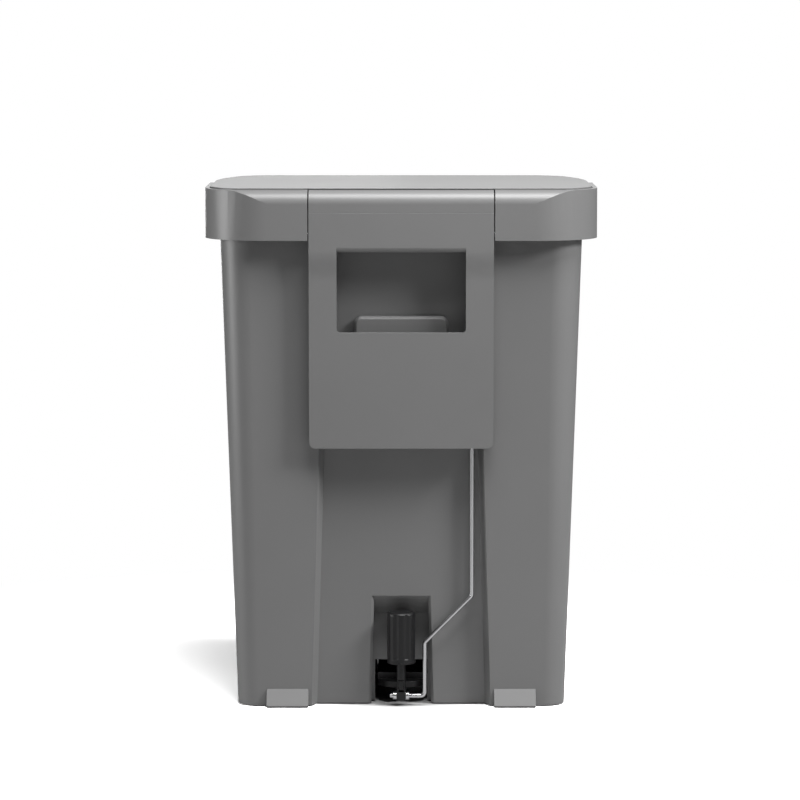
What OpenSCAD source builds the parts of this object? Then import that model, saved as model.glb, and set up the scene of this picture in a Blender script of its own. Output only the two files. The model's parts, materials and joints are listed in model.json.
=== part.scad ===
// Litter disposal pail: a step-on pedal bin with a lid hinged at the back.
// The back wall carries the lift rod in a channel, the damper in a pocket at the channel's foot,
// and a panel with a hand hole over the rod's upper half.
// Millimetres, +Z up. The front faces -Y and the back +Y. The origin is on the floor, under the
// middle of the lid. The pail is drawn closed.

/* [Lid] */
// Width of the lid across its skirt
lid_w = 460; // [444:1:476]
// Depth of the lid from front to back
lid_d = 356; // [346:1:370]
// Height of the lid's top above the floor
total_h = 612; // [596:1:630]
// Height of the lid with its skirt
skirt_h = 60; // [57:1:64]
// Wall thickness of the lid shell
lid_wall = 3; // [2.4:0.2:3.6]
// Radius of the lid's rear corners, seen from above
rear_corner_r = 74; // [62:1:84]
// Radius of the long curve along each side of the lid's front half
side_curve_r = 350; // [300:5:420]
// Radius of the lid's front corners, seen from above
front_corner_r = 55; // [50:1:64]
// Distance from the lid's middle forward to where the straight sides end
straight_end = 19; // [10:1:28]
// Radius of the rolled rear edge
roll_r = 16; // [13:1:18]
// Distance from the lid's outer face to the top panel
rim_w = 6.5; // [5.5:0.5:8]
// Width of the groove between rim and top panel
groove_w = 1.2; // [0.8:0.1:1.6]
// Height of the top panel above the rim
panel_lift = 1.8; // [1.4:0.1:2.2]
// Thickness of the top panel
panel_t = 2.5; // [2:0.1:3]
// Depth of the lowered shoulder round the front half
shoulder_drop = 4.5; // [3.5:0.25:5]
// Thickness of the ledge that carries the top panel
ledge_t = 3; // [2.5:0.25:3.5]
// Width of the ledge, from the lid's outer face
ledge_w = 14; // [13:0.5:16]
// Thickness of the liner under the lid
liner_t = 2; // [1.6:0.2:2.4]

/* [Body] */
// Distance from the skirt's outer face to the body, at the skirt's lower edge
body_in = 18.5; // [17:0.5:21]
// How much further in each body wall is at the floor than at the skirt
draft_in = 18.5; // [14:0.5:22]
// Wall thickness of the body
body_wall = 3; // [2.4:0.2:3.6]
// Radius of the body's rear corners at the skirt
body_corner_top = 36; // [30:1:44]
// Radius of the body's rear corners at the floor
body_corner_base = 25; // [20:1:34]
// Distance from the lid's top down to the body's rim
rim_drop = 15; // [14:0.5:17]
// Width of the ledge round the body's rim
rim_ledge_w = 9.5; // [9:0.5:12]
// Height of the bin's floor on its inside
floor_h = 62; // [60:1:66]
// Height of the body's lower edge over the floor pads
base_gap = 1.5; // [1:0.25:2.5]

/* [Back channel] */
// Depth of the channel in the back wall
channel_depth = 16; // [14:0.5:17.5]
// Width of the channel at the floor
channel_base_w = 211; // [205:1:215]
// Width of the channel at the lid's skirt
channel_top_w = 178; // [176:1:190]
// How far each sloping side wall of the channel leans in over its depth
channel_side_in = 6.3; // [5:0.1:8]
// Width of the hinge well behind the panel
well_w = 208; // [206:0.5:209]
// Height of the hinge well's lower edge under the hinge axis
well_drop = 17.5; // [16:0.5:20]

/* [Damper pocket] */
// Width of the pocket at the floor
pocket_base_w = 71; // [68:0.5:76]
// Width of the pocket at its top
pocket_top_w = 63.5; // [60:0.5:66]
// Height of the pocket's top edge in the channel floor
pocket_h = 130; // [126:1:136]
// Depth of the pocket behind the channel floor, at its top edge
pocket_depth = 24.4; // [22:0.2:26]

/* [Hinge] */
// Distance from the lid's rear face to the hinge axis
axle_inset = 10; // [9:0.25:11]
// Height of the hinge axis over the skirt's lower edge
axle_rise = 6.5; // [6:0.25:8]
// Diameter of the hinge axle
axle_d = 6; // [5:0.5:7]
// Running clearance on the radius of shafts in their holes
fit = 0.05; // [0.02:0.01:0.08]
// Opening angle of the lid
lid_open = 70; // [60:1:75]
// Width of the panel and cap at the back
cover_w = 214.6; // [213:0.2:215.4]
// Side gap between the panel and the lid
cover_gap = 1.3; // [1:0.1:1.6]
// Height of the hinge cap at the lid's rear face
cap_h = 28; // [26:0.5:30]
// Running gap between the lid's cut-out and the cap
swing_gap = 0.65; // [0.5:0.05:0.9]
// Thickness left on the top panel's edge over the cap
panel_lip = 1.2; // [1:0.1:1.4]

/* [Rear cover] */
// Height of the cover from its lower edge to the cap
cover_h = 275; // [262:1:290]
// Wall thickness of the cover and cap
cover_wall = 3; // [2.4:0.2:3.4]
// How far the cover steps in towards the body
cover_step = 4; // [2:0.5:6]
// Distance from the cap down to the top of that step
step_drop = 43; // [39:1:46]
// Height of that step
step_len = 38; // [32:1:46]
// Radius of the cover's lower corners
cover_corner_r = 7.5; // [5:0.5:10]
// Width of the hand hole
hole_w = 150; // [140:1:156]
// Height of the hand hole
hole_h = 93.5; // [84:0.5:98]
// Distance from the cap down to the hand hole's upper edge
hole_drop = 45.5; // [44:0.5:54]
// Radius of the hand hole's corners
hole_r = 4; // [2:0.5:6]
// Depth of the finger lip along the hand hole's upper edge
grip_lip = 16; // [12:1:20]
// Width of the raised pad behind the hand hole
pad_w = 110; // [104:1:120]
// Height of the raised pad's top over the hand hole's lower edge
pad_rise = 17; // [12:1:21]
// Height of the raised pad
pad_h = 112; // [100:1:120]
// Radius of the raised pad's corners
pad_r = 9; // [6:1:12]
// Thickness of the raised pad
pad_t = 9; // [7:0.5:10]

/* [Lift rod] */
// Diameter of the lift rod
rod_d = 5; // [4.5:0.1:5.4]
// Travel of the rod from lid closed to lid open
rod_lift = 20; // [18:0.5:20.5]
// Distance from the rod's upper run to the channel's edge at the skirt
rod_side = 6; // [5.5:0.5:7]
// Distance of the rod's lower run from the middle
rod_lower_x = 27.6; // [26.6:0.1:28]
// Height of the bend between lower and sloping run
rod_bend_low = 76; // [72:1:80]
// Height of the bend between sloping and upper run
rod_bend_high = 132; // [128:1:136]
// Height of the rod's bent end above the floor
rod_pin_z = 12; // [11:0.5:13]
// How far the bent end reaches past the middle
rod_pin_end = 13; // [12:0.5:15]
// Diameter of the push-on washers
washer_d = 9.6; // [9:0.2:10.4]
// Thickness of the push-on washers
washer_t = 3.6; // [3:0.2:3.8]

/* [Damper] */
// Diameter of the damper's cylinder
damper_d = 32.8; // [31:0.2:34]
// Height of the cylinder's lower end
damper_base = 54; // [53:0.5:55]
// Height of the cylinder's top
damper_top = 113; // [112:0.5:114]
// Wall thickness of the cylinder
damper_wall = 2.9; // [2.4:0.1:3.2]
// Number of flutes round the cylinder
flute_n = 8; // [6:1:10]
// Depth of each flute
flute_depth = 1.1; // [0.6:0.1:1.4]
// Width of the damper's stem
stem_w = 10.6; // [10:0.1:11]
// Width of the slot in the stem's end
slot_w = 6.2; // [6:0.1:6.6]
// Height of the slot's lower end
slot_base = 17; // [16.5:0.5:17.5]
// Height of the slot's upper end
slot_top = 31.5; // [31.5:0.25:32]

/* [Pedal] */
// Distance from the middle back to the pedal's pivot
pivot_y = 5; // [2:1:8]
// Height of the pedal's pivot
pivot_z = 24; // [23.5:0.25:24.5]
// Diameter of the pivot pin
pivot_d = 6; // [5:0.5:7]
// Width of the pedal lever
lever_w = 56; // [52:1:58]
// Wall thickness of the pedal lever
lever_t = 3; // [2.5:0.25:3.5]
// Height of the lever's flat rear half
lever_top = 33.5; // [32:0.5:34]
// Height of the lever at its front end
lever_front_top = 50; // [48:1:52]
// Width of the lever's rear tongue
tongue_w = 5; // [4.5:0.1:5.4]
// Width of the foot tread
tread_w = 96; // [90:1:100]
// Depth of the foot tread
tread_d = 32; // [28:0.5:33]
// Gap between the foot tread and the foot of the body's front wall
tread_gap = 3; // [2.5:0.5:8]
// Width of the bracket that holds the pivot
bracket_w = 100; // [94:1:110]
// Depth of that bracket
bracket_d = 28; // [24:1:34]
// Diameter of the clips on the pivot pin
clip_d = 12; // [10:0.5:14]
// Thickness of those clips
clip_t = 1.6; // [1.2:0.1:2]

/* [Feet] */
// Width of each rear foot
foot_w = 49; // [40:1:54]
// Gap between each rear foot and the channel
foot_gap = 4; // [3:0.5:8]
// How far the rear feet stand out from the back wall
foot_out = 12; // [9:0.5:15]
// Height of the rear feet
foot_h = 21; // [17:1:26]
// Width of the front feet
front_foot_w = 40; // [32:1:46]
// Distance from the middle to the inner side of each front foot
front_foot_x = 112; // [100:1:118]
// Depth of the front feet
front_foot_d = 17; // [14:1:20]

/* [Hidden] */
$fn = 48;

grey = [0.42, 0.42, 0.42];
black = [0.06, 0.06, 0.06];
steel = [0.75, 0.75, 0.76];
rubber = [0.12, 0.12, 0.12];
seat_gap = 0.3;
slab_t = 0.01;
over = 1;

lid_hw = lid_w / 2;
lid_hd = lid_d / 2;
rim_z = total_h - panel_lift;
skirt_z = total_h - skirt_h;
shoulder_z = rim_z - shoulder_drop;
panel_under = total_h - panel_t;
ledge_z = panel_under - 3;
ledge_under = ledge_z - ledge_t;
liner_z = ledge_under - liner_t;
panel_rear_y = lid_hd - roll_r - 0.5;
roll_z = rim_z - roll_r;
roll_y = lid_hd - roll_r;

axis_y = lid_hd - axle_inset;
axis_z = skirt_z + axle_rise;
notch_hw = cover_w / 2 + cover_gap;
swing_r = norm([axis_y - panel_rear_y, total_h - panel_lip - axis_z]);
cap_r = swing_r - swing_gap;
cap_base = total_h - cap_h;
cover_base = cap_base - cover_h;
step_top = cap_base - step_drop;
step_base = step_top - step_len;
hole_top = cap_base - hole_drop;
hole_base = hole_top - hole_h;
pad_top = hole_base + pad_rise;
ear_t = 3.4;
ear_r = 6.2;

rim_top = total_h - rim_drop;
floor_under = floor_h - body_wall;
wall_lean = draft_in / skirt_z;
lean_angle = atan(wall_lean);
well_y = axis_y - 32.5;
well_z = axis_z - well_drop;

crank_r = rod_lift / 2 / sin(lid_open / 2);
rod_in = crank_r * cos(lid_open / 2);
rod_top_z = axis_z - rod_lift / 2;
rod_y0 = axis_y - rod_in - wall_lean * rod_top_z;
rod_upper_x = channel_top_w / 2 - rod_side;
crank_x = rod_upper_x - 8;
crank_t = 6;

pivot_swing = asin(rod_lift / (rod_y0 - pivot_y));
foot_y = lid_hd - body_in - draft_in;
tread_reach = foot_y + tread_gap + tread_d;
foot_x0 = channel_base_w / 2 + foot_gap;
foot_x1 = foot_x0 + foot_w;
pad_edge = 2.5;

screw_x = 38;
screw_zs = [pad_top - 98, pad_top - 38];
saddle_zs = [damper_base + 22, damper_base + 40];
pad_face_y = lid_hd - inset_at(pad_top) - channel_depth + pad_t;
pocket_back_y = lid_hd - inset_at(pocket_h) - channel_depth - pocket_depth;

// Points on an arc about c, from angle a0 to a1 in n steps.
function arc(c, r, a0, a1, n) =
    [for (i = [0:n]) let (a = a0 + (a1 - a0) * i / n) [c[0] + r * cos(a), c[1] + r * sin(a)]];

// Distance from the lid's outer face to the body's outer face at height z.
function inset_at(z) = body_in + draft_in * (skirt_z - z) / skirt_z;

// Radius of the body's rear corners at height z.
function body_corner(z) =
    body_corner_base + (body_corner_top - body_corner_base) * z / skirt_z;

// Outer face of the body's back wall, and the channel's floor, at height z.
function back_y(z) = lid_hd - inset_at(z);
function channel_y(z) = back_y(z) - channel_depth;
function channel_hw(z) =
    (channel_base_w + (channel_top_w - channel_base_w) * z / skirt_z) / 2;

// The plan's right half: rear corner, straight side, long front curve and front corner, which is
// tangent to both. Inset d keeps every arc's centre, so walls stay parallel.
function plan_half(d, rear_r) =
    let (
        curve_x = lid_hw - side_curve_r,
        corner_y = front_corner_r - lid_hd,
        drop = -straight_end - corner_y,
        across = sqrt(pow(side_curve_r - front_corner_r, 2) - drop * drop),
        turn = atan2(drop, across)
    )
    concat(
        arc([lid_hw - d - rear_r, lid_hd - d - rear_r], rear_r, 90, 0, 12),
        arc([curve_x, -straight_end], side_curve_r - d, 0, -turn, 8),
        arc([curve_x + across, corner_y], front_corner_r - d, -turn, -90, 9)
    );

module plan(d, rear_r) {
    half = plan_half(d, rear_r);
    polygon(concat(half, [for (i = [len(half) - 1:-1:0]) [-half[i][0], half[i][1]]]));
}

// A prism of the lid's plan, inset by d, between two heights.
module lid_prism(d, z0, z1) {
    translate([0, 0, z0]) linear_extrude(z1 - z0) plan(d, rear_corner_r - d);
}

// A tapered block of the body's plan, further inset by d, between two heights.
module body_block(d, z0, z1) {
    hull() {
        for (z = [z0, z1 - slab_t])
            translate([0, 0, z]) linear_extrude(slab_t)
                plan(inset_at(z) + d, body_corner(z) - d);
    }
}

// A box given by its lowest and highest corners.
module span(a, b) {
    translate(a) cube(b - a);
}

// A cylinder along X between two places, at y and z.
module rod_x(r, x0, x1, y, z) {
    translate([x0, y, z]) rotate([0, 90, 0]) cylinder(r = r, h = x1 - x0);
}

// A cylinder along Y between two places, at x and z.
module rod_y(r, y0, y1, x, z) {
    translate([x, y0, z]) rotate([-90, 0, 0]) cylinder(r = r, h = y1 - y0);
}

// A side profile of Y and Z points, run along X between two places.
module run_x(points, x0, x1) {
    translate([x0, 0, 0]) rotate([90, 0, 90]) linear_extrude(x1 - x0) polygon(points);
}

// A rear outline of X and Z points, run along Y between two places.
module run_y(points, y0, y1) {
    translate([0, y1, 0]) rotate([90, 0, 0]) linear_extrude(y1 - y0) polygon(points);
}

// A rectangle of X and Z points with a corner radius for the top and one for the bottom.
function round_rect(hw, z0, z1, r_top, r_base) = concat(
    arc([hw - r_base, z0 + r_base], r_base, -90, 0, 8),
    arc([hw - r_top, z1 - r_top], r_top, 0, 90, 8),
    arc([r_top - hw, z1 - r_top], r_top, 90, 180, 8),
    arc([r_base - hw, z0 + r_base], r_base, 180, 270, 8));

// Both sides of the mirror plane X = 0.
module both() {
    children();
    mirror([1, 0, 0]) children();
}

// The frame that leans with the back wall: its Z runs along the lift rod.
module leaning() {
    translate([0, rod_y0, 0]) rotate([-lean_angle, 0, 0]) children();
}

// The body.

// The channel, grown by d for its wall, as a wedge that narrows upward.
module channel_block(d, z0, z1) {
    out = 6;
    lean = channel_side_in / channel_depth;
    hull() {
        for (z = [z0, z1 - slab_t])
            translate([0, 0, z]) linear_extrude(slab_t) polygon([
                [channel_hw(z) + d + out * lean, back_y(z) + out],
                [channel_hw(z) + d - channel_side_in, channel_y(z) - d],
                [-channel_hw(z) - d + channel_side_in, channel_y(z) - d],
                [-channel_hw(z) - d - out * lean, back_y(z) + out]]);
    }
}

module well_block(d) {
    span([-well_w / 2 - d, well_y - d, well_z - d], [well_w / 2 + d, lid_hd, rim_top + over]);
}

// The pocket's slope runs down and forward at 45 degrees from its top edge to its back wall.
module pocket_block(d) {
    edge_y = channel_y(pocket_h);
    back = pocket_back_y - d;
    rise = d * sqrt(2);
    slope_z = pocket_h - (edge_y - back) + rise;
    far = lid_hd;
    intersection() {
        run_x([[back, -over], [back, slope_z], [far, slope_z + far - back], [far, -over]],
              -pocket_base_w, pocket_base_w);
        run_y([[-pocket_base_w / 2 - d, -over], [pocket_base_w / 2 + d, -over],
               [pocket_top_w / 2 + d, pocket_h], [pocket_top_w / 2 + d, rim_top],
               [-pocket_top_w / 2 - d, rim_top], [-pocket_top_w / 2 - d, pocket_h]],
              back - over, far);
    }
}

// The pocket's sides open out at its mouth, which leans with the channel's floor.
module pocket_mouth() {
    lip = 3;
    hull() {
        for (p = [[-over, pocket_base_w / 2], [pocket_h, pocket_top_w / 2]])
            translate([0, 0, p[0]]) linear_extrude(slab_t) polygon([
                [p[1] + lip + over, channel_y(p[0]) + over], [p[1], channel_y(p[0]) - lip],
                [-p[1], channel_y(p[0]) - lip], [-p[1] - lip - over, channel_y(p[0]) + over]]);
    }
}

module rear_feet() {
    foot_z = 0.4;
    bevel = 2;
    difference() {
        both() run_x([[foot_y - body_wall / 2, foot_z],
                      [foot_y + foot_out - bevel, foot_z],
                      [foot_y + foot_out, foot_z + bevel],
                      [back_y(foot_h) + 0.05, foot_h],
                      [back_y(foot_h) - body_wall / 2, foot_h]], foot_x0, foot_x1);
        both() span([foot_x0 + pad_edge - 0.1, 0, -over],
                    [foot_x1 - pad_edge + 0.1, foot_y + foot_out - pad_edge - 1.4, base_gap]);
    }
}

module front_feet() {
    both() span([front_foot_x, over - foot_y, base_gap],
                [front_foot_x + front_foot_w, over - foot_y + front_foot_d, 12]);
}

module floor_ribs() {
    rib_z = floor_under - 12;
    rib_x = 84;
    rib_y = 78;
    rib_t = 2.5;
    both() span([rib_x, -rib_y, rib_z], [rib_x + rib_t, rib_y, floor_under + 0.5]);
    for (y = [-rib_y, rib_y])
        span([-rib_x - rib_t, y - rib_t, rib_z], [rib_x + rib_t, y + rib_t, floor_under + 0.5]);
}

module body() {
    color(grey) difference() {
        union() {
            difference() {
                body_block(0, base_gap, rim_top);
                body_inside();
            }
            rear_feet();
        }
        difference() {
            union() {
                channel_block(0, -2 * over, rim_top + 2 * over);
                well_block(0);
            }
            grip_pad();
        }
        pocket_block(0);
        pocket_mouth();
        cap_seat();
        lever_openings();
        cover_screw_holes();
        saddle_screw_holes();
        bracket_screw_holes(floor_under - over, floor_h - 0.6);
    }
}

// What is hollow above and below the floor. The channel, well and pocket keep their own walls.
module body_inside() {
    difference() {
        union() {
            body_block(body_wall, floor_h, rim_top - body_wall);
            body_block(rim_ledge_w, rim_top - body_wall - over, rim_top + over);
            body_block(body_wall, -over, floor_under);
        }
        channel_block(body_wall, -2 * over, rim_top + 2 * over);
        well_block(body_wall);
        pocket_block(body_wall);
        front_feet();
        floor_ribs();
    }
}

module cap_seat() {
    span([-notch_hw, well_y, cap_base], [notch_hw, lid_hd, rim_top + over]);
}

module lever_openings() {
    lever_gap = 3;
    rear_top = lever_top + rod_lift * (pocket_back_y - pivot_y) / (rod_y0 - pivot_y) + 1.5;
    span([-lever_w / 2 - lever_gap, pocket_back_y - 2 * body_wall, -over],
         [lever_w / 2 + lever_gap, pocket_back_y + over, rear_top]);
    span([-lever_w / 2 - lever_gap, -lid_hd, -over],
         [lever_w / 2 + lever_gap, 2 * body_wall - foot_y, lever_front_top + 4]);
}

// The raised pad behind the hand hole, which also carries the cover's posts.
module grip_pad() {
    bevel = 3;
    low = pad_top - pad_h;
    hull() {
        run_y(round_rect(pad_w / 2, low, pad_top, pad_r, pad_r),
              channel_y(low) - body_wall / 2, pad_face_y - bevel);
        run_y(round_rect(pad_w / 2 - bevel, low + bevel, pad_top - bevel,
                         pad_r - bevel, pad_r - bevel), pad_face_y - slab_t, pad_face_y);
    }
}

module cover_screw_holes() {
    for (x = [-screw_x, screw_x], z = screw_zs)
        rod_y(2.2, channel_y(z) - 2 * body_wall, pad_face_y + over, x, z);
}

module saddle_screw_holes() {
    for (z = saddle_zs)
        rod_y(2.2, pocket_back_y - body_wall - over, pocket_back_y + over, 0, z);
}

bracket_screw_places = [for (x = [-1, 1], y = [-1, 1])
    [x * (bracket_w / 2 - 8), pivot_y + y * (bracket_d / 2 - 6)]];

module bracket_screw_holes(z0, z1) {
    for (p = bracket_screw_places)
        translate([p[0], p[1], z0]) cylinder(r = 2.1, h = z1 - z0);
}

// The rear cover and the hinge cap.

// The cover's face: upright under the cap, a smooth step in, then parallel to the back wall.
function cover_face(d) = concat(
    [[lid_hd - d, cap_base - seat_gap / 3]],
    [for (i = [0:12]) let (t = i / 12)
        [lid_hd - d - cover_step * (1 - cos(180 * t)) / 2, step_top - (step_top - step_base) * t]],
    [[lid_hd - d - cover_step - wall_lean * (step_base - cover_base), cover_base]]);

module cover_solid(d) {
    back = d > 0 ? -over : 0.2;
    intersection() {
        run_x(concat(cover_face(d), [[back_y(cover_base) + back, cover_base],
                                     [back_y(cap_base) + back, cap_base - seat_gap / 3]]),
              -cover_w / 2 + d, cover_w / 2 - d);
        run_y(round_rect(cover_w / 2 - d, cover_base, cap_base + 4, slab_t,
                         cover_corner_r - min(d, cover_corner_r - 1)), 0, lid_hd);
    }
}

module rear_cover() {
    lip_r = 6;
    color(grey) difference() {
        union() {
            difference() {
                cover_solid(0);
                difference() {
                    cover_solid(cover_wall);
                    cover_posts();
                    span([-hole_w / 2 - 3, lid_hd - grip_lip, hole_top],
                         [hole_w / 2 + 3, lid_hd, hole_top + cover_wall]);
                }
                span([-cover_w / 2 + cover_wall, 0, cap_base - over],
                     [cover_w / 2 - cover_wall, lid_hd - cover_wall, cap_base + over]);
                span([-cover_w / 2 + cover_wall, 0, cover_base - over],
                     [cover_w / 2 - cover_wall, lid_hd - cover_step - cover_wall - 7,
                      cover_base + over]);
            }
        }
        run_y(round_rect(hole_w / 2, hole_base, hole_top, hole_r / 2, hole_r), 0, lid_hd + over);
        difference() {
            span([-hole_w / 2, lid_hd - lip_r, hole_top - over],
                 [hole_w / 2, lid_hd + over, hole_top + lip_r]);
            rod_x(lip_r, -hole_w, hole_w, lid_hd - lip_r, hole_top + lip_r);
        }
        rod_x(5 + fit, -cover_w, cover_w, axis_y, axis_z);
        for (x = [-screw_x, screw_x], z = screw_zs)
            rod_y(1.7, 0, pad_face_y + 13, x, z);
    }
}

module cover_posts() {
    for (x = [-screw_x, screw_x], z = screw_zs)
        rod_y(5, pad_face_y, lid_hd, x, z);
}

// The rear roll that the lid and the cap share, with its radius made smaller by d.
module roll_profile(d, x0, x1) {
    rod_x(roll_r - d, x0, x1, roll_y, roll_z);
    span([x0, -lid_hd, 0], [x1, roll_y, rim_z - d]);
    span([x0, -lid_hd, 0], [x1, lid_hd - d, roll_z]);
}

// The cap's top is a drum about the hinge axis, so the lid's edge sweeps over it.
module cap_solid(d) {
    hw = cover_w / 2 - d;
    intersection() {
        roll_profile(d, -hw, hw);
        rod_x(cap_r - d, -hw, hw, axis_y, axis_z);
        span([-hw, well_y + 0.2 + d, cap_base - (d > 0 ? over : 0)], [hw, lid_hd, total_h]);
    }
}

module hinge_cap() {
    color(grey) difference() {
        cap_solid(0);
        cap_solid(cover_wall - 0.5);
    }
}

module cover_screws() {
    color(steel) for (x = [-screw_x, screw_x], z = screw_zs) {
        head_y = channel_y(z) - body_wall - 0.2;
        rod_y(4, head_y - 2.5, head_y, x, z);
        rod_y(1.65, head_y - over, pad_face_y + 12, x, z);
    }
}

module axle_bushes() {
    color(black) both() difference() {
        union() {
            rod_x(5, cover_w / 2 - cover_wall, cover_w / 2, axis_y, axis_z);
            rod_x(6.5, cover_w / 2, cover_w / 2 + cover_gap - 0.5, axis_y, axis_z);
        }
        rod_x(axle_d / 2 + fit, 0, cover_w, axis_y, axis_z);
    }
}

// The damper.

damper_bore = damper_d / 2 - damper_wall;

module damper_cylinder() {
    r = damper_d / 2;
    dome = 4;
    flute_r = 8;
    color(black) leaning() difference() {
        rotate_extrude($fn = 64) polygon(concat(
            [[damper_bore, damper_base], [r, damper_base]],
            arc([r - dome, damper_top - dome], dome, 0, 90, 6),
            [[0, damper_top], [0, damper_top - damper_wall], [damper_bore, damper_top - damper_wall]]));
        for (i = [0:flute_n - 1])
            rotate([0, 0, (i + 0.5) * 360 / flute_n])
                translate([r + flute_r - flute_depth, 0, damper_base + 4])
                    cylinder(r = flute_r, h = damper_top - damper_base, $fn = 32);
    }
}

module damper_end_cap() {
    color(black) leaning() rotate_extrude($fn = 64) polygon([
        [stem_w / 2 + fit, damper_base - 2], [damper_d / 2, damper_base - 2],
        [damper_d / 2, damper_base], [damper_bore - fit, damper_base],
        [damper_bore - fit, damper_base + 4], [stem_w / 2 + fit, damper_base + 4]]);
}

module damper_saddle() {
    color(black) difference() {
        span([-9, pocket_back_y, 66], [9, rod_y0, 104]);
        leaning() cylinder(r = damper_d / 2 + 0.15, h = 2 * damper_top);
        for (z = saddle_zs)
            rod_y(1.7, pocket_back_y - over, pocket_back_y + 9, 0, z);
    }
}

module damper_screws() {
    color(steel) for (z = saddle_zs) {
        rod_y(4, pocket_back_y - body_wall - 2.5, pocket_back_y - body_wall, 0, z);
        rod_y(1.65, pocket_back_y - body_wall - over, pocket_back_y + 8, 0, z);
    }
}

module damper_stem() {
    h = stem_w / 2;
    color(black) leaning() difference() {
        union() {
            translate([0, 0, slot_base - 4]) cylinder(r = h, h = damper_base + 10 - slot_base);
            span([-h, -h, rod_pin_z - h], [h, h, slot_base]);
        }
        span([-slot_w / 2, -stem_w, slot_base], [slot_w / 2, stem_w, slot_top]);
        rod_x(rod_d / 2 + fit, -stem_w, stem_w, 0, rod_pin_z);
    }
}

module damper_piston() {
    piston_z = damper_base + 6;
    color(black) leaning() difference() {
        translate([0, 0, piston_z]) cylinder(r = damper_bore - 1.5 * fit, h = 8, $fn = 64);
        for (a = [0:120:359]) rotate([0, 0, a])
            translate([damper_bore - 4, 0, piston_z - over]) cylinder(r = 1.2, h = 10);
    }
}

// The pedal.

module pivot_bracket() {
    lug_x = lever_w / 2 + 0.5;
    lug_t = 4.5;
    lug_r = pivot_d / 2 + 5;
    color(black) difference() {
        union() {
            span([-bracket_w / 2, pivot_y - bracket_d / 2, floor_under - 3],
                 [bracket_w / 2, pivot_y + bracket_d / 2, floor_under]);
            both() {
                span([lug_x, pivot_y - lug_r, pivot_z],
                     [lug_x + lug_t, pivot_y + lug_r, floor_under - over]);
                rod_x(lug_r, lug_x, lug_x + lug_t, pivot_y, pivot_z);
            }
        }
        rod_x(pivot_d / 2 + fit, -lever_w, lever_w, pivot_y, pivot_z);
        bracket_screw_holes(floor_under - 4, floor_under + over);
    }
}

module bracket_screws() {
    color(steel) for (p = bracket_screw_places)
        translate([p[0], p[1], floor_under - 5.5]) {
            cylinder(r = 3.8, h = 2.5);
            cylinder(r = 2.05, h = 7.5);
        }
}

module pedal_pin() {
    color(steel) rod_x(pivot_d / 2, -lever_w / 2 - 9, lever_w / 2 + 9, pivot_y, pivot_z);
}

module pin_clips() {
    clip_x = lever_w / 2 + 5.2;
    color(steel) both() difference() {
        rod_x(clip_d / 2, clip_x, clip_x + clip_t, pivot_y, pivot_z);
        rod_x(pivot_d / 2 + fit, 0, lever_w, pivot_y, pivot_z);
    }
}

// Where the lever's top lies over the floor: level behind the pivot, then up to the tread.
function lever_line(d) = [
    [rod_y0 + 8, lever_top - d], [pivot_y - 35, lever_top - d],
    [tread_d - tread_reach + 16, lever_front_top - d], [8 - tread_reach, lever_front_top - d]];

module lever_run(d0, d1, hw) {
    low = lever_line(d1);
    run_x(concat(lever_line(d0), [for (i = [3:-1:0]) low[i]]), -hw, hw);
}

// Seen from above, the nose under the plate rounds in to the tongue that lifts the stem.
module lever_plan() {
    shoulder_y = pocket_back_y - 8;
    end_y = rod_y0 - 12;
    tip_y = rod_y0 + stem_w / 2 + 0.7;
    end_r = end_y - shoulder_y;
    hw = lever_w / 2;
    linear_extrude(total_h, center = true) {
        polygon(concat(
            [[-hw, 8 - tread_reach], [hw, 8 - tread_reach]],
            arc([hw - end_r, shoulder_y], end_r, 0, 74, 8),
            [[tongue_w / 2, end_y], [tongue_w / 2, tip_y],
             [-tongue_w / 2, tip_y], [-tongue_w / 2, end_y]],
            arc([end_r - hw, shoulder_y], end_r, 106, 180, 8)));
    }
}

module pedal_lever() {
    flange_h = 14;
    plate_end = pocket_back_y - 6;
    color(black) difference() {
        union() {
            intersection() {
                union() {
                    lever_run(0, lever_t, lever_w / 2);
                    both() intersection() {
                        lever_run(0, flange_h, lever_w);
                        span([lever_w / 2 - lever_t, -lid_d, 0], [lever_w / 2, lid_d, total_h]);
                    }
                    intersection() {
                        lever_run(0, flange_h, lever_w / 2);
                        span([-lever_w, pocket_back_y - 12, 0], [lever_w, lid_d, total_h]);
                    }
                }
                lever_plan();
            }
            both() rod_x(7, lever_w / 2 - 2 * lever_t, lever_w / 2, pivot_y, pivot_z);
        }
        rod_x(pivot_d / 2 + fit, -lever_w, lever_w, pivot_y, pivot_z);
        both() span([tongue_w / 2, plate_end, lever_top - 7], [lever_w, lid_d, lever_top + over]);
        span([-tongue_w, plate_end, lever_top - 3], [tongue_w, lid_d, lever_top + over]);
    }
}

module tread_outline(d) {
    r = 10 - d;
    hw = tread_w / 2 - d;
    back = tread_d - tread_reach;
    polygon(concat([[hw, back], [-hw, back]],
                   arc([r - hw, r + d - tread_reach], r, 180, 270, 6),
                   arc([hw - r, r + d - tread_reach], r, 270, 360, 6)));
}

module pedal_tread() {
    top = lever_front_top + 4;
    depth = 15;
    nose_r = 9;
    color(grey) difference() {
        intersection() {
            translate([0, 0, top - depth]) linear_extrude(depth) tread_outline(0);
            union() {
                span([-tread_w, nose_r - tread_reach, 0], [tread_w, 0, top]);
                span([-tread_w, -tread_reach, 0], [tread_w, 0, top - nose_r]);
                rod_x(nose_r, -tread_w, tread_w, nose_r - tread_reach, top - nose_r);
            }
        }
        translate([0, 0, top - depth - over]) linear_extrude(depth + over - 4) tread_outline(3);
    }
}

// The floor pads.

module rear_pads() {
    color(rubber) both() span([foot_x0 + pad_edge, foot_y - body_wall, 0],
                              [foot_x1 - pad_edge, foot_y + foot_out - pad_edge - 1.5, base_gap]);
}

module front_pads() {
    color(rubber) both()
        span([front_foot_x + 2, 3 - foot_y, 0],
             [front_foot_x + front_foot_w - 2, front_foot_d - 1 - foot_y, base_gap]);
}

// The lid.

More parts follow.
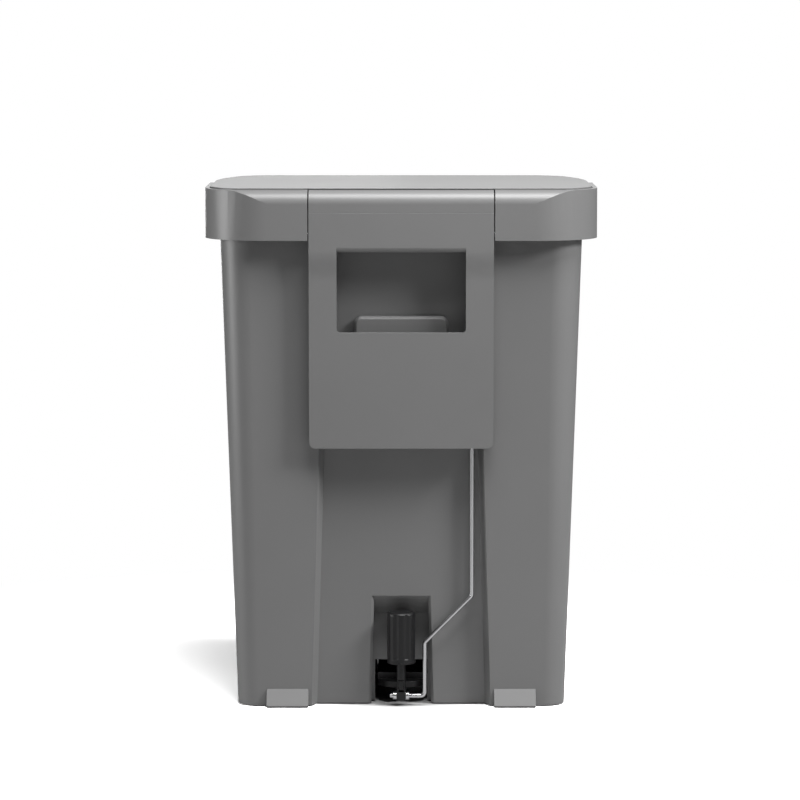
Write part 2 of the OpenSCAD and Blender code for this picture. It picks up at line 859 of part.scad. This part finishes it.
module swing_cut() {
    rod_x(swing_r, -notch_hw, notch_hw, axis_y, axis_z);
}

module lid_outer(d) {
    intersection() {
        lid_prism(d, skirt_z - (d > 0 ? over : 0), rim_z);
        roll_profile(d, -lid_hw, lid_hw);
    }
}

module lid_shell() {
    color(grey) difference() {
        union() {
            difference() {
                lid_outer(0);
                intersection() {
                    lid_outer(lid_wall);
                    lid_prism(lid_wall, 0, ledge_under);
                }
                lid_prism(ledge_w, ledge_under - over, ledge_z + over);
                intersection() {
                    lid_prism(rim_w - groove_w, ledge_z, total_h);
                    span([-lid_hw, -lid_hd, 0], [lid_hw, roll_y, total_h]);
                }
                difference() {
                    span([-lid_hw, -lid_hd, shoulder_z], [lid_hw, -straight_end, total_h]);
                    lid_prism(rim_w - groove_w, 0, total_h);
                }
                span([-notch_hw, roll_y - 0.3, 0], [notch_hw, lid_hd + over, total_h]);
                swing_cut();
            }
            hinge_ears();
        }
        rod_x(axle_d / 2 + fit, -notch_hw - ear_t - over, notch_hw + ear_t + over, axis_y, axis_z);
        lid_screw_holes(ledge_under - over, ledge_z - 0.4);
    }
}

module hinge_ears() {
    intersection() {
        lid_outer(0);
        both() {
            rod_x(ear_r, notch_hw, notch_hw + ear_t, axis_y, axis_z);
            span([notch_hw, axis_y - ear_r + 0.2, axis_z],
                 [notch_hw + ear_t, lid_hd, ledge_under + over]);
        }
    }
}

module lid_panel() {
    color(grey) difference() {
        intersection() {
            lid_prism(rim_w, ledge_z, total_h);
            span([-lid_hw, -lid_hd, 0], [lid_hw, panel_rear_y, total_h]);
        }
        intersection() {
            lid_prism(rim_w + 2, ledge_z - over, panel_under);
            span([-lid_hw, -lid_hd, 0], [lid_hw, panel_rear_y - 2, total_h]);
        }
        swing_cut();
    }
}

module lid_liner() {
    rib_t = 2;
    rib_top = panel_under - 0.2;
    color(grey) difference() {
        union() {
            intersection() {
                lid_prism(lid_wall + 1, liner_z, ledge_under);
                roll_profile(lid_wall + 1, -lid_hw, lid_hw);
            }
            intersection() {
                lid_prism(ledge_w + 1, liner_z, rib_top);
                union() {
                    for (x = [-150:75:150])
                        span([x - rib_t / 2, -lid_hd, liner_z],
                             [x + rib_t / 2, panel_rear_y - 3, rib_top]);
                    for (y = [-110:70:100])
                        span([-lid_hw, y - rib_t / 2, liner_z], [lid_hw, y + rib_t / 2, rib_top]);
                }
            }
        }
        span([-notch_hw - ear_t - 1, well_y - 1, 0], [notch_hw + ear_t + 1, lid_hd, total_h]);
        lid_screw_holes(liner_z - over, ledge_under + over);
    }
}

lid_screw_in = 9;
lid_screw_places = [
    [lid_hw - lid_screw_in, 80], [lid_hw - lid_screw_in, 0],
    [100, lid_screw_in - lid_hd], [140, lid_hd - lid_screw_in]];

module lid_screw_holes(z0, z1) {
    both() for (p = lid_screw_places) translate([p[0], p[1], z0]) cylinder(r = 1.8, h = z1 - z0);
}

module lid_screws() {
    color(steel) both() for (p = lid_screw_places) translate([p[0], p[1], liner_z - 2]) {
        cylinder(r = 3.6, h = 2);
        cylinder(r = 1.75, h = liner_t + 4);
    }
}

module lid_bumpers() {
    rim_mid = inset_at(rim_top) + rim_ledge_w / 2;
    color(rubber) both() for (p = [[lid_hw - rim_mid, 40], [110, rim_mid - lid_hd]])
        translate([p[0], p[1], rim_top + seat_gap]) cylinder(r = 4, h = liner_z - rim_top - seat_gap);
}

// The hinge axle and the crank.

module hinge_axle() {
    end_x = notch_hw + ear_t;
    color(steel) rod_x(axle_d / 2, -end_x, end_x, axis_y, axis_z);
}

// The arm is drawn along -Y, then turned down to its place with the lid closed.
module crank_arm() {
    hub_r = 6.5;
    slot_r = rod_d / 2 + 0.9;
    near = rod_in - 0.8;
    far = crank_r + 0.6;
    color(black) translate([-crank_x, axis_y, axis_z]) rotate([lid_open / 2, 0, 0]) difference() {
        union() {
            rod_x(hub_r, -crank_t / 2, crank_t / 2 + 3, 0, 0);
            rod_x(slot_r + 2, -crank_t / 2, crank_t / 2, -far, 0);
            span([-crank_t / 2, -far, -slot_r - 2], [crank_t / 2, 0, slot_r + 2]);
        }
        rod_x(axle_d / 2 + fit, -lid_hw, lid_hw, 0, 0);
        rod_x(slot_r, -lid_hw, lid_hw, -near, 0);
        rod_x(slot_r, -lid_hw, lid_hw, -far, 0);
        span([-lid_hw, -far, -slot_r], [lid_hw, -near, slot_r]);
    }
}

// The lift rod.

rod_bend_r = 5;
bend_lap = 0.4;
bend_swell = 0.03;
rod_path = [
    [rod_pin_end, rod_pin_z], [-rod_lower_x, rod_pin_z], [-rod_lower_x, rod_bend_low],
    [-rod_upper_x, rod_bend_high], [-rod_upper_x, rod_top_z / cos(lean_angle)],
    [6 - crank_x + 3, rod_top_z / cos(lean_angle)]];

// Unit vector from one path point to the next.
function way_of(i) = (rod_path[i + 1] - rod_path[i]) / norm(rod_path[i + 1] - rod_path[i]);

// The angle by which the path turns at point i, positive to the left.
function turn_at(i) = let (a = way_of(i - 1), b = way_of(i))
    atan2(a[0] * b[1] - a[1] * b[0], a * b);

// The length that the bend at point i takes off each run beside it.
function bend_in(i) =
    i == 0 || i == len(rod_path) - 1 ? 0 : rod_bend_r * tan(abs(turn_at(i)) / 2);

module rod_run(i) {
    way = way_of(i);
    start = rod_path[i] + way * max(bend_in(i) - bend_lap, 0);
    stop = rod_path[i + 1] - way * max(bend_in(i + 1) - bend_lap, 0);
    translate([start[0], 0, start[1]]) rotate([0, atan2(way[0], way[1]), 0])
        cylinder(r = rod_d / 2, h = norm(stop - start));
}

module rod_bend(i) {
    turn = turn_at(i);
    way = way_of(i - 1);
    side = turn > 0 ? [-way[1], way[0]] : [way[1], -way[0]];
    centre = rod_path[i] - way * bend_in(i) + side * rod_bend_r;
    first = atan2(-side[1], -side[0]) + min(turn, 0);
    translate([centre[0], 0, centre[1]]) rotate([90, 0, 0]) rotate([0, 0, first])
        rotate_extrude(angle = abs(turn)) translate([rod_bend_r, 0])
            circle(r = rod_d / 2 + bend_swell);
}

module pushrod() {
    color(steel) leaning() {
        for (i = [0:len(rod_path) - 2]) rod_run(i);
        for (i = [1:len(rod_path) - 2]) rod_bend(i);
    }
}

module push_washer(x0, z) {
    difference() {
        rod_x(washer_d / 2, x0, x0 + washer_t, 0, z);
        rod_x(rod_d / 2 + fit, x0 - over, x0 + washer_t + over, 0, z);
    }
}

module rod_washers() {
    color(steel) leaning() both() push_washer(stem_w / 2 + seat_gap, rod_pin_z);
}

module crank_washer() {
    color(steel) leaning() push_washer(crank_t / 2 + seat_gap - crank_x, rod_top_z / cos(lean_angle));
}

body();
rear_cover();
hinge_cap();
cover_screws();
axle_bushes();
damper_cylinder();
damper_end_cap();
damper_saddle();
damper_screws();
pivot_bracket();
bracket_screws();
pedal_pin();
pin_clips();
rear_pads();
front_pads();
lid_shell();
lid_panel();
lid_liner();
lid_screws();
lid_bumpers();
hinge_axle();
crank_arm();
pushrod();
rod_washers();
crank_washer();
damper_stem();
damper_piston();
pedal_lever();
pedal_tread();
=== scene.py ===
# %% [markdown]
# A litter disposal pail: a step-on pedal bin, seen from behind.
# The imported CAD model is the fixed frame. It holds every size, and each moving body.
# This lesson adds the looks: camera, light, finishes, and surfaces finer than the solids.
# It loads the frame first.

# %% The frame
import json

import bmesh
import bpy
import numpy as np
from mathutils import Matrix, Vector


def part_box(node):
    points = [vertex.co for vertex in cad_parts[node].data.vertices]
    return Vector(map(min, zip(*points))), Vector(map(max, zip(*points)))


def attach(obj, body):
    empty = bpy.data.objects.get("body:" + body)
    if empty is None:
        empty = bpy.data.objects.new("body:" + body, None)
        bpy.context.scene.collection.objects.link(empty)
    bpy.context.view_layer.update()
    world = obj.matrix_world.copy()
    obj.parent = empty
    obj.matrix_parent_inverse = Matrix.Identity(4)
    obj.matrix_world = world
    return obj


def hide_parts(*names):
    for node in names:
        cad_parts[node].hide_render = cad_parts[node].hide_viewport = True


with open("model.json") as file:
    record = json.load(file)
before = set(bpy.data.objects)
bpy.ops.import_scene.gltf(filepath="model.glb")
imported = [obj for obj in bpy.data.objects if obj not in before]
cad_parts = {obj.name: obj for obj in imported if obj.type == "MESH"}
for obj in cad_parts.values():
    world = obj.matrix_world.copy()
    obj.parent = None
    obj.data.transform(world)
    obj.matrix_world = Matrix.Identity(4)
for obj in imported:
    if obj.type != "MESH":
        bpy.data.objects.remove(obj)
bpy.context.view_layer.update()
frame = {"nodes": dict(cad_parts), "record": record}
nodes = frame["nodes"]
scene = bpy.context.scene
millimetre = 0.001

# %% [markdown]
# The photograph was taken from behind and a little above, from far away with a long lens.
# The lid's width, its depth and the pail's height fix the camera's distance and its tilt.
# A camera at that place gives the same outline and the same lean of the sides, which no
# change of the picture's frame could give afterwards.

# %% The camera
lens_mm = 178.3
sensor_mm = 36.0
tilt_down = 5.879
camera_place = (0.0014, 4.7532, 0.8383)
camera_data = bpy.data.cameras.new("camera")
camera_data.sensor_width = sensor_mm
camera_data.lens = lens_mm
camera = bpy.data.objects.new("camera", camera_data)
camera.location = camera_place
camera.rotation_euler = np.radians((90.0 - tilt_down, 0.0, 180.0))
scene.collection.objects.link(camera)
bpy.context.scene.camera = camera
print("camera: %.1f mm lens, %.2f m behind the pail" % (lens_mm, camera_place[1]))

# %% [markdown]
# The backdrop is plain white. A bright white world would do it, but it would also light the
# plastic from every side and wash it out. So only rays from the camera see white. Glossy rays
# see a pale grey studio, so that steel has something to mirror, and all other rays see an
# almost dark room.

# %% The world
dark_room = 0.01
pale_studio = 0.15


def add_node(tree, kind, values=None):
    """A shader node of that kind, whose named sockets are set to the values."""
    node = tree.nodes.new("ShaderNode" + kind)
    for socket, value in (values or {}).items():
        node.inputs[socket].default_value = value
    return node


def studio_world():
    """White for the camera, and one of two greys for all other rays."""
    world = bpy.data.worlds.new("studio")
    world.use_nodes = True
    tree = world.node_tree
    tree.nodes.clear()
    rays = add_node(tree, "LightPath")
    grey = add_node(tree, "MapRange", {"To Min": dark_room, "To Max": pale_studio})
    strength = add_node(tree, "Math")
    strength.operation = "MAXIMUM"
    room = add_node(tree, "Background", {"Color": (1.0, 1.0, 1.0, 1.0)})
    end = add_node(tree, "OutputWorld")
    tree.links.new(rays.outputs["Is Glossy Ray"], grey.inputs["Value"])
    tree.links.new(grey.outputs[0], strength.inputs[0])
    tree.links.new(rays.outputs["Is Camera Ray"], strength.inputs[1])
    tree.links.new(strength.outputs[0], room.inputs["Strength"])
    tree.links.new(room.outputs[0], end.inputs[0])
    return world


scene.view_settings.view_transform = "Standard"
scene.world = studio_world()
print("world: view transform", scene.view_settings.view_transform)

# %% [markdown]
# Five soft boxes light the pail. The one at the left draws the bright line down the left
# corners. The one at the right and the one high up give the faces their light, and the
# shadows under the skirt and beside the cover. Two stand on the pail's other side. The lid's top
# mirrors the higher one towards the camera at a grazing angle, so the top is the brightest
# face, and the lower one only lights the front with the pedal, which the photo doesn't show.
# The lights stand well away from the pail, so its foot is nearly as bright as its top.

# %% The lights
middle = (0.0, 0.1, 0.35)


def soft_box(name, place, width, height, watts):
    """A rectangle light at place. It shines along its own -Z, which is turned to the middle."""
    data = bpy.data.lights.new(name, "AREA")
    data.shape = "RECTANGLE"
    data.size = width
    data.size_y = height
    data.energy = watts
    lamp = bpy.data.objects.new(name, data)
    lamp.location = place
    way = np.subtract(middle, place)
    tip = np.arctan2(np.hypot(way[0], way[1]), -way[2])
    turn = np.arctan2(way[1], way[0]) - np.pi / 2
    lamp.rotation_euler = (tip, 0.0, turn)
    scene.collection.objects.link(lamp)


soft_box("light_left", (2.37, 0.31, 0.68), 0.9, 0.9, 30)
soft_box("light_right", (-2.05, 1.10, 1.95), 0.7, 0.7, 78)
soft_box("light_high", (-0.22, 0.62, 2.00), 1.0, 0.8, 48)
soft_box("light_behind", (0.30, -2.68, 1.47), 2.0, 0.8, 8)
soft_box("light_front", (0.50, -2.60, 0.45), 1.0, 0.6, 14)

# %% [markdown]
# The floor is one big plane. For the camera its colour is raised until the lit floor is white,
# which keeps the soft shadow beside the pail. Near and under the pail, where the floor is seen
# through the pocket, it is raised far less and stays a mid grey: painted shade, darker by distance
# from the pail's middle, on top of the real shadow. Further out it fades to a plain glow of
# strength 1, and its far edge melts into the backdrop. The light that the pail gets back comes
# from a mid grey floor, so its undersides stay dark.

# %% The floor
floor_half = 6.0
bounce_grey = 0.46
# Painted shade: under and near the pail the floor's colour for the camera is kept this low, by distance
# alone.
painted_shade_gain = 0.45
gain_open = 2.35
foot_reach = 0.13
open_reach = 0.20
fade_near = 0.30
fade_far = 1.00


def new_material(name, values):
    """A material with one shader, whose sockets take the values, wired to the output."""
    material = bpy.data.materials.new(name)
    material.use_nodes = True
    tree = material.node_tree
    tree.nodes.clear()
    shader = add_node(tree, "BsdfPrincipled", values)
    end = add_node(tree, "OutputMaterial")
    tree.links.new(shader.outputs[0], end.inputs[0])
    return material, tree, shader, end


def floor_white():
    """By distance from the pail's middle: a gain that rises from painted shade under the pail to white,
    then a mix from diffuse to glow.
    """
    material, tree, bounce, end = new_material("floor_white", {
        "Base Color": (bounce_grey, bounce_grey, bounce_grey, 1.0),
        "Roughness": 0.9, "Specular IOR Level": 0.0})
    near = add_node(tree, "BsdfDiffuse")
    far = add_node(tree, "Emission", {"Color": (1.0, 1.0, 1.0, 1.0)})
    place = add_node(tree, "TexCoord")
    radius = add_node(tree, "VectorMath")
    radius.operation = "LENGTH"
    tree.links.new(place.outputs["Object"], radius.inputs[0])
    gain = add_node(tree, "MapRange", {"From Min": foot_reach, "From Max": open_reach,
                                       "To Min": painted_shade_gain, "To Max": gain_open})
    fade = add_node(tree, "MapRange", {"From Min": fade_near, "From Max": fade_far})
    for ramp in (gain, fade):
        ramp.interpolation_type = "SMOOTHSTEP"
        tree.links.new(radius.outputs["Value"], ramp.inputs["Value"])
    rays = add_node(tree, "LightPath")
    by_radius = add_node(tree, "MixShader")
    by_ray = add_node(tree, "MixShader")
    tree.links.new(gain.outputs[0], near.inputs["Color"])
    tree.links.new(fade.outputs[0], by_radius.inputs[0])
    tree.links.new(near.outputs[0], by_radius.inputs[1])
    tree.links.new(far.outputs[0], by_radius.inputs[2])
    tree.links.new(rays.outputs["Is Camera Ray"], by_ray.inputs[0])
    tree.links.new(bounce.outputs[0], by_ray.inputs[1])
    tree.links.new(by_radius.outputs[0], by_ray.inputs[2])
    tree.links.new(by_ray.outputs[0], end.inputs[0])
    return material


floor_corners = [(x * floor_half, y * floor_half, 0.0) for x, y in ((-1, -1), (1, -1), (1, 1), (-1, 1))]
floor_mesh = bpy.data.meshes.new("floor")
floor_mesh.from_pydata(floor_corners, [], [(0, 1, 2, 3)])
floor_mesh.materials.append(floor_white())
floor = bpy.data.objects.new("floor", floor_mesh)
scene.collection.objects.link(floor)
print("floor: lit up to %.2f m, plain white from %.2f m" % (fade_near, fade_far))

# %% [markdown]
# Moulded plastic isn't one flat colour. Its surface has a fine spark-eroded grain, its gloss
# changes a little from place to place, and its colour drifts by a hair. An image could hold
# all this, but noise on Object coordinates needs no unwrapping and has its real scale, in
# metres. The corners catch the light because a moulded edge is rounded, which the bevel
# node adds where a solid is sharp.

# %% The plastics
slow_scale = 9.0
slow_detail = 3.0
grain_scale = 2600.0
grain_detail = 2.0
grain_height = 0.04 * millimetre
edge_round = 0.6 * millimetre
colour_drift = 0.04
gloss_drift = 0.03


def object_noise(tree, scale, detail):
    """Noise that reads Object coordinates: scale is how many times it varies in a metre."""
    place = add_node(tree, "TexCoord")
    noise = add_node(tree, "TexNoise", {"Scale": scale, "Detail": detail})
    tree.links.new(place.outputs["Object"], noise.inputs["Vector"])
    return noise


def cloud_finish(tree, shader, noise, dark, light, rough_low, rough_high):
    """Where the noise rises, the colour goes from dark to light and the roughness from low to high."""
    tint = add_node(tree, "ValToRGB")
    tint.color_ramp.elements[0].color = (*dark, 1.0)
    tint.color_ramp.elements[1].color = (*light, 1.0)
    gloss = add_node(tree, "MapRange", {"To Min": rough_low, "To Max": rough_high})
    tree.links.new(noise.outputs["Fac"], tint.inputs[0])
    tree.links.new(noise.outputs["Fac"], gloss.inputs["Value"])
    tree.links.new(tint.outputs[0], shader.inputs["Base Color"])
    tree.links.new(gloss.outputs[0], shader.inputs["Roughness"])


def moulded(name, colour, roughness, grain, specular=0.5):
    """Plastic: slow noise clouds its colour and gloss, and fine noise raises its grain."""
    material, tree, shader, _ = new_material(name, {"Specular IOR Level": specular})
    colour = np.array(colour)
    cloud_finish(tree, shader, object_noise(tree, slow_scale, slow_detail),
                 colour * (1 - colour_drift), colour * (1 + colour_drift),
                 roughness - gloss_drift, roughness + gloss_drift)
    fine = object_noise(tree, grain_scale, grain_detail)
    bump = add_node(tree, "Bump", {"Strength": grain, "Distance": grain_height})
    rounded = add_node(tree, "Bevel", {"Radius": edge_round})
    tree.links.new(fine.outputs["Fac"], bump.inputs["Height"])
    tree.links.new(rounded.outputs[0], bump.inputs["Normal"])
    tree.links.new(bump.outputs[0], shader.inputs["Normal"])
    return material


grey = moulded("grey_plastic", (0.150, 0.150, 0.150), roughness=0.42, grain=0.35)
black = moulded("black_plastic", (0.005, 0.005, 0.0055), roughness=0.42, grain=0.25, specular=0.35)
rubber = moulded("rubber_pad", (0.02, 0.02, 0.02), roughness=0.70, grain=0.60, specular=0.30)
finishes = {"grey_plastic": grey, "black_plastic": black, "rubber": rubber}
print("plastics:", ", ".join(finishes))

# %% [markdown]
# The lift rod, the screws and the pins are zinc-plated steel. It is a metal, so nearly all of
# its look is what it mirrors, and its own colour only tints that. Plating is a little cloudy,
# so the colour and the gloss vary over a few millimetres.

# %% The steel, and a finish for every node
steel_scale = 140.0
steel_detail = 4.0
steel_dark = 0.9
steel_gloss_drift = 0.05


def plated_steel(name, colour, roughness):
    """Zinc-plated steel: a metal whose colour and gloss cloud a little."""
    material, tree, shader, _ = new_material(name, {"Metallic": 1.0})
    colour = np.array(colour)
    cloud_finish(tree, shader, object_noise(tree, steel_scale, steel_detail),
                 colour * steel_dark, colour,
                 roughness - steel_gloss_drift, roughness + steel_gloss_drift)
    return material


finishes["steel"] = plated_steel("zinc_steel", (0.55, 0.55, 0.56), roughness=0.24)
slot_of_node = {part["node"]: part["material_slot"] for part in frame["record"]["subparts"]}
for node, slot in slot_of_node.items():
    mesh = nodes[node].data
    mesh.materials.clear()
    mesh.materials.append(finishes[slot])
print("finishes:", ", ".join(finishes), "on", len(slot_of_node), "nodes")

# %% [markdown]
# The CAD model holds each surface exactly, but its faces are flat triangles, and on a real
# moulding the light runs smoothly round every corner. The shape itself is right, so it isn't
# drawn again: a copy of the mesh is merged, and its faces share one normal wherever they meet
# at a gentle angle. Weighted normals keep the large faces flat, so only the bends turn soft.
# One crease is gentle in places and has to stay crisp all along: where the roll at the lid's
# rear runs into the upright corner.

# %% Moulded skins
gentle = np.radians(32.0)
hardly = 0.001
clearly = 0.02
same_point = 0.002 * millimetre


def crisp(edge):
    """True where two faces meet sharply, or where the rear roll is cut by the upright corner:
    a roll's normal has no x and points up, and a corner's normal has some x and no z."""
    if len(edge.link_faces) != 2 or edge.calc_face_angle(np.pi) > gentle:
        return True
    one, other = sorted((face.normal for face in edge.link_faces), key=lambda normal: abs(normal.x))
    rolled = abs(one.x) < hardly and one.z > clearly
    upright = abs(other.x) > clearly and abs(other.z) < hardly
    return rolled and upright


def moulded_skin(node, body):
    """A merged copy of a CAD node, smooth over gentle angles and crisp over sharp ones."""
    mesh = nodes[node].data.copy()
    build = bmesh.new()
    build.from_mesh(mesh)
    bmesh.ops.remove_doubles(build, verts=build.verts, dist=same_point)
    build.normal_update()
    for edge in build.edges:
        edge.smooth = not crisp(edge)
    for face in build.faces:
        face.smooth = True
    build.to_mesh(mesh)
    build.free()
    mesh.name = node + "_skin"
    if "custom_normal" in mesh.attributes:
        mesh.attributes.remove(mesh.attributes["custom_normal"])
    skin = bpy.data.objects.new(node + "_skin", mesh)
    scene.collection.objects.link(skin)
    weigh = skin.modifiers.new("flat_faces", "WEIGHTED_NORMAL")
    weigh.mode = "FACE_AREA"
    weigh.weight = 100
    weigh.keep_sharp = True
    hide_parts(node)
    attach(skin, body)
    print(skin.name, len(mesh.vertices), "points")


body_of_node = {node: body for body, names in frame["record"]["behaviour"]["bodies"].items()
                for node in names}
moulded_nodes = ("body", "rear_cover", "hinge_cap", "lid_shell", "lid_panel", "lid_liner",
                 "pedal_tread", "pedal_lever", "damper_end_cap", "damper_saddle", "pivot_bracket")
for node in moulded_nodes:
    moulded_skin(node, body_of_node[node])

# %% [markdown]
# Two pieces show their roundness up close: the bent lift rod and the fluted damper. They are
# drawn anew as grids of points. Each row of the grid is a closed ring, and the rows follow each
# other along the piece, so the whole surface is one array and needs no step by step modelling.

# %% A surface from a grid
grid_same_point = 0.001 * millimetre


def grid_piece(name, points, body, node):
    """A closed mesh from rows x columns x 3 points: quads between rings, one flat face at each end."""
    rows, columns = points.shape[:2]
    index = np.arange(rows * columns).reshape(rows, columns)
    low, high = index[:-1], index[1:]
    quads = np.stack([low, np.roll(low, -1, 1), np.roll(high, -1, 1), high], -1).reshape(-1, 4)
    faces = quads.tolist() + [index[0, ::-1].tolist(), index[-1].tolist()]
    mesh = bpy.data.meshes.new(name)
    mesh.from_pydata(points.reshape(-1, 3).tolist(), [], faces)
    build = bmesh.new()
    build.from_mesh(mesh)
    bmesh.ops.remove_doubles(build, verts=build.verts, dist=grid_same_point)
    bmesh.ops.recalc_face_normals(build, faces=build.faces)
    build.to_mesh(mesh)
    build.free()
    mesh.shade_smooth()
    mesh.set_sharp_from_angle(angle=gentle)
    mesh.materials.append(finishes[slot_of_node[node]])
    piece = bpy.data.objects.new(name, mesh)
    scene.collection.objects.link(piece)
    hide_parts(node)
    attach(piece, body)
    print(name, rows, "rings of", columns, "points")


print("grids: smooth below %.0f degrees" % np.degrees(gentle))

# %% [markdown]
# The lift rod is one 5 mm wire with four bends, all in a plane that leans with the back wall.
# It is drawn from its middle line, as a bender's table would give it: straight runs, and the
# radius of the bends between them. In that plane a point has two coordinates: x across the pail,
# and its run up the wall along the leaning axis that the rod slides on.

# %% The rod's middle line
rod_r = 2.5 * millimetre
bend_r = 5.0 * millimetre
foot_tip = 13.0 * millimetre
foot_run = 12.0 * millimetre
lower_x = -27.6 * millimetre
lower_run = 76.0 * millimetre
upper_x = -83.0 * millimetre
upper_run = 132.0 * millimetre
hook_tip = -66.0 * millimetre
slide = next(j for j in frame["record"]["behaviour"]["joints"] if j["name"] == "rod_slide")
lean = np.array(slide["axis"])
rod_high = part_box("pushrod")[1]
hook_run = (rod_high[2] - rod_r) / lean[2]
plane_y = rod_high[1] - rod_r - hook_run * lean[1]
rod_corners = np.array([(foot_tip, foot_run), (lower_x, foot_run), (lower_x, lower_run),
                        (upper_x, upper_run), (upper_x, hook_run), (hook_tip, hook_run)])


def rounded_line(corners, radius, steps=10):
    """Straight runs with an arc at each corner. Where the line turns by the angle a, the arc is
    centre + (sin((1 - s) a) start + sin(s a) stop) / sin(a), with s from 0 to 1: start and stop
    lead from the arc's centre to the two points where it touches the runs."""
    line = [corners[:1]]
    share = np.linspace(0, 1, steps)[:, None]
    for before, corner, after in zip(corners, corners[1:], corners[2:]):
        come = (before - corner) / np.linalg.norm(before - corner)
        go = (after - corner) / np.linalg.norm(after - corner)
        inward = (come + go) / np.linalg.norm(come + go)
        half = np.arccos(come @ go) / 2
        turn = np.pi - 2 * half
        centre = corner + inward * radius / np.sin(half)
        start = corner + come * radius / np.tan(half) - centre
        stop = corner + go * radius / np.tan(half) - centre
        arc = (np.sin((1 - share) * turn) * start + np.sin(share * turn) * stop) / np.sin(turn)
        line.append(centre + arc)
    line.append(corners[-1:])
    return np.concatenate(line)


rod_line = rounded_line(rod_corners, bend_r)
rod_length = np.linalg.norm(np.diff(rod_line, axis=0), axis=1).sum()
print("rod: %.0f mm of wire, %d points on its middle line" % (rod_length / millimetre, len(rod_line)))

# %% [markdown]
# A circle is now carried along the middle line. It stands square to the line everywhere, and
# because the line stays in one plane, the plane's own normal serves as one of its two axes and
# the wire never twists. At both ends the circle shrinks a little, because a sheared and tumbled
# wire has no sharp rim.

# %% The rod's wire
rim_round = 0.5 * millimetre
rim_rings = 5


def wire(line, radius, sides=24):
    """Rings p + r (cos t n + sin t b) along the line: n is the plane's normal, b square to it.
    At each end r grows by rim_round while p moves in by rim_round, along a quarter circle."""
    across = np.array((1.0, 0.0, 0.0))
    plane_out = np.cross(lean, across)
    places = line[:, :1] * across + line[:, 1:] * lean + np.array((0.0, plane_y, 0.0))
    way = np.gradient(places, axis=0)
    way[[0, -1]] = places[1] - places[0], places[-1] - places[-2]
    way /= np.linalg.norm(way, axis=1)[:, None]
    quarter = np.linspace(0, np.pi / 2, rim_rings)
    inset = (rim_round * (1 - np.cos(quarter)))[:, None]
    end_radii = radius - rim_round * (1 - np.sin(quarter))
    rings = np.concatenate([places[0] + inset * way[0], places[1:-1],
                            places[-1] - inset[::-1] * way[-1]])
    ways = np.concatenate([np.repeat(way[:1], rim_rings, 0), way[1:-1],
                           np.repeat(way[-1:], rim_rings, 0)])
    radii = np.concatenate([end_radii, np.full(len(places) - 2, radius), end_radii[::-1]])
    angle = np.linspace(0, 2 * np.pi, sides, endpoint=False)[None, :, None]
    side = np.cross(ways, plane_out)[:, None, :]
    return rings[:, None] + radii[:, None, None] * (np.cos(angle) * plane_out + np.sin(angle) * side)


grid_piece("lift_rod_wire", wire(rod_line, rod_r), "lift_rod", "pushrod")

# %% [markdown]
# The damper's cylinder is a turned shape: a wall round a bore, closed by a domed end. Its
# outline is a short list of radii and heights, and the grid turns that outline round the axis.
# The bore is drawn too, because the stem and the piston run in it.

# %% The damper's outline
damper_r = 16.4 * millimetre
damper_wall = 2.9 * millimetre
damper_base = 54.0 * millimetre
damper_top = 113.0 * millimetre
dome_r = 4.0 * millimetre
lip = 0.5 * millimetre
flute_start = damper_base + 4.0 * millimetre
flute_blend = 0.6 * millimetre


def damper_outline(blend_rows=4, wall_rows=12, dome_rows=9):
    """Rows of (radius, height), from the end of the bore, down and round the foot, to the flat
    top. The dome's edge is a quarter circle: r - d + d cos t, top - d + d sin t."""
    bore_r = damper_r - damper_wall
    bore_top = damper_top - damper_wall
    foot = [(bore_r / 2, bore_top), (bore_r, bore_top), (bore_r, damper_base),
            (damper_r - lip, damper_base), (damper_r, damper_base + lip)]
    blend = flute_start + np.linspace(-flute_blend, flute_blend, blend_rows)
    wall = np.linspace(blend[-1] + lip, damper_top - dome_r - lip, wall_rows)
    heights = np.concatenate([blend, wall])
    turn = np.linspace(0, np.pi / 2, dome_rows)
    dome = np.stack([damper_r - dome_r + dome_r * np.cos(turn),
                     damper_top - dome_r + dome_r * np.sin(turn)], 1)
    side = np.stack([np.full(len(heights), damper_r), heights], 1)
    return np.concatenate([foot, side, dome, [(damper_r / 2, damper_top)]])


outline = damper_outline()
print("damper: outline of", len(outline), "points")

# %% [markdown]
# Eight shallow flutes run up the cylinder and out over its domed end. In plan, a flute is the
# near side of a circle of 8 mm whose centre lies outside the cylinder. So no cutting is needed:
# at each angle the radius is the smaller of two, the outline's own and the distance to that
# circle. Near the foot the flutes fade out, so the cylinder ends in a plain round band.

# %% The damper's flutes
flute_count = 8
flute_r = 8.0 * millimetre
flute_depth = 1.1 * millimetre


def fluted(outline, columns=256):
    """Rings of radius min(r, c cos f - sqrt(q^2 - c^2 sin^2 f)), where f is the angle from a
    flute's middle, q the flute's radius and c how far its centre lies from the axis. The flute
    comes in by u^2 (3 - 2 u), with u from 0 to 1 over the blend."""
    own, height = outline[:, :1], outline[:, 1:]
    angle = np.linspace(0, 2 * np.pi, columns, endpoint=False)
    step = 2 * np.pi / flute_count
    off = np.mod(angle, step) - step / 2
    centre = damper_r + flute_r - flute_depth
    inside = np.clip(flute_r ** 2 - (centre * np.sin(off)) ** 2, 0, None)
    flute = np.where(inside > 0, centre * np.cos(off) - np.sqrt(inside), np.inf)
    share = np.clip((height - flute_start + flute_blend) / (2 * flute_blend), 0, 1)
    radius = own + (np.minimum(own, flute) - own) * share ** 2 * (3 - 2 * share)
    sideways, outward = radius * np.cos(angle), radius * np.sin(angle)
    return np.stack([sideways, plane_y + outward * lean[2] + height * lean[1],
                     height * lean[2] - outward * lean[1]], -1)


grid_piece("damper_barrel", fluted(outline), "pail", "damper_cylinder")
